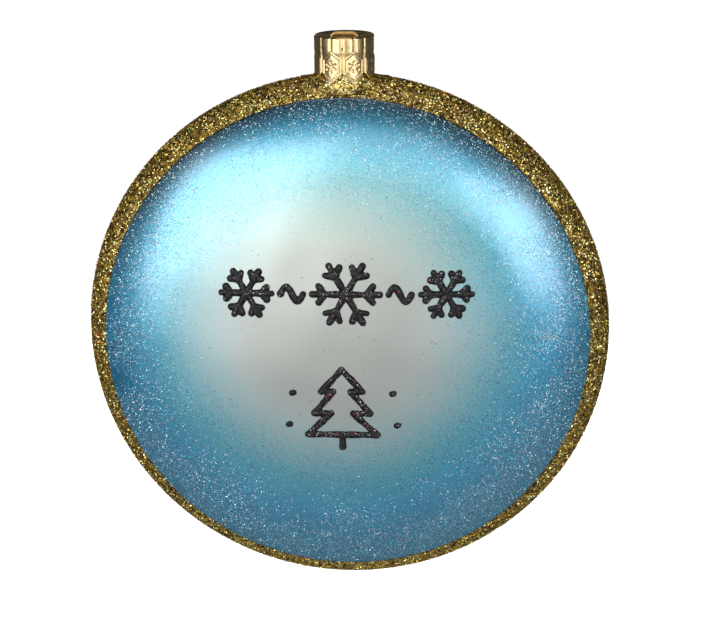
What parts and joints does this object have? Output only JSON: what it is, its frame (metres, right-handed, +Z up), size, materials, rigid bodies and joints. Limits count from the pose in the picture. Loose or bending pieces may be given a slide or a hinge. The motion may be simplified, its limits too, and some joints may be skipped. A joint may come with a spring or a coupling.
{
  "type": "christmas ornament",
  "caption": "Flattened round blown-glass ornament with painted faces, a gold glitter rim, a piped motif, a crown cap and a wire hanger.",
  "frame": {"origin": "the hang point: the underside of the hanger wire's bow when it is pushed down on the cap", "axes": "+Z up, the way the ornament hangs; the disc's axis is Y, and its decorated face looks towards -Y"},
  "size_m": [0.1, 0.0253, 0.1075],
  "materials": {
    "glass": "blown, smooth",
    "silvering": "mirror coat",
    "blue_lacquer": "satin pearl lacquer",
    "gold_glitter": "coarse gold glitter in clear binder",
    "black_glitter": "black glitter paint",
    "gilt_sheet": "bright gold-lacquered tinplate",
    "gilt_wire": "gold-plated spring wire"
  },
  "bodies": {
    "glass": {"glass_body": "glass", "silvering": "silvering", "front_lacquer": "blue_lacquer", "back_lacquer": "blue_lacquer", "glitter_band": "gold_glitter", "motif_upper": "black_glitter", "motif_lower": "black_glitter"},
    "cap": {"cap_shell": "gilt_sheet"},
    "hanger": {"hanger_wire": "gilt_wire"}
  },
  "joints": [
    {"name": "cap_lift", "type": "slide", "parent": "glass", "child": "cap", "axis": [0, 0, 1], "range_m": [0, 0.02]},
    {"name": "hanger_slide", "type": "slide", "parent": "cap", "child": "hanger", "axis": [0, 0, 1], "range_m": [0, 0.008]}
  ]
}
